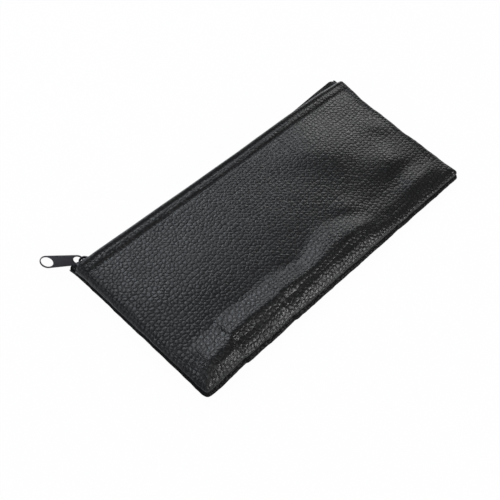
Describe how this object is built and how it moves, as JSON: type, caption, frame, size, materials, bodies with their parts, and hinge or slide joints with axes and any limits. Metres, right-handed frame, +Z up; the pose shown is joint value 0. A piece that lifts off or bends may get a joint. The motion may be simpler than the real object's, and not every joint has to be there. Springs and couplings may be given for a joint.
{
  "type": "cash deposit bag",
  "caption": "Flat zip pouch for carrying cash, in black pebble-grain leatherette seamed round three sides, with a zip along one long edge and a ringed pull tab.",
  "frame": {"origin": "middle of the back panel's flat face, on the surface that the bag lies on", "axes": "+X along the zip, from the closed slider to the far end; +Y towards the zip edge; +Z up out of the front panel"},
  "size_m": [0.2904, 0.1584, 0.0164],
  "materials": {
    "leatherette": "pebble grain, satin",
    "zip_tape": "woven, matt",
    "zip_teeth": "moulded, satin",
    "enamelled_metal": "dark grey enamel, satin",
    "thread": "twisted, matt"
  },
  "bodies": {
    "back": {"back_panel": "leatherette", "back_zip_tape": "zip_tape", "back_zip_teeth": "zip_teeth", "back_top_stop": "enamelled_metal", "bottom_stop": "enamelled_metal", "back_hem_tape_stitch": "thread"},
    "front": {"front_panel": "leatherette", "front_zip_tape": "zip_tape", "front_zip_teeth": "zip_teeth", "front_top_stop": "enamelled_metal", "front_hem_edge_stitch": "thread", "front_hem_tape_stitch": "thread", "seam_stitch": "thread"},
    "slider": {"slider_body": "enamelled_metal"},
    "tab": {"pull_tab": "enamelled_metal"}
  },
  "joints": [
    {"name": "zip_slide", "type": "slide", "parent": "back", "child": "slider", "axis": [1, 0, 0], "range_m": [0, 0.257], "deforming": ["front_zip_teeth", "back_zip_teeth"]},
    {"name": "mouth_open", "type": "hinge", "parent": "back", "child": "front", "pos_m": [0, -0.0665, 0.0046], "axis": [1, 0, 0], "range_deg": [0, 12]},
    {"name": "tab_swing", "type": "hinge", "parent": "slider", "child": "tab", "pos_m": [-0.12874, 0.07005, 0.00805], "axis": [-0.07, 0.053, 0.9961], "range_deg": [-122, 20]}
  ],
  "couplings": [
    {"joint": "mouth_open", "follows": "zip_slide", "rad_per_m": 0.81}
  ]
}
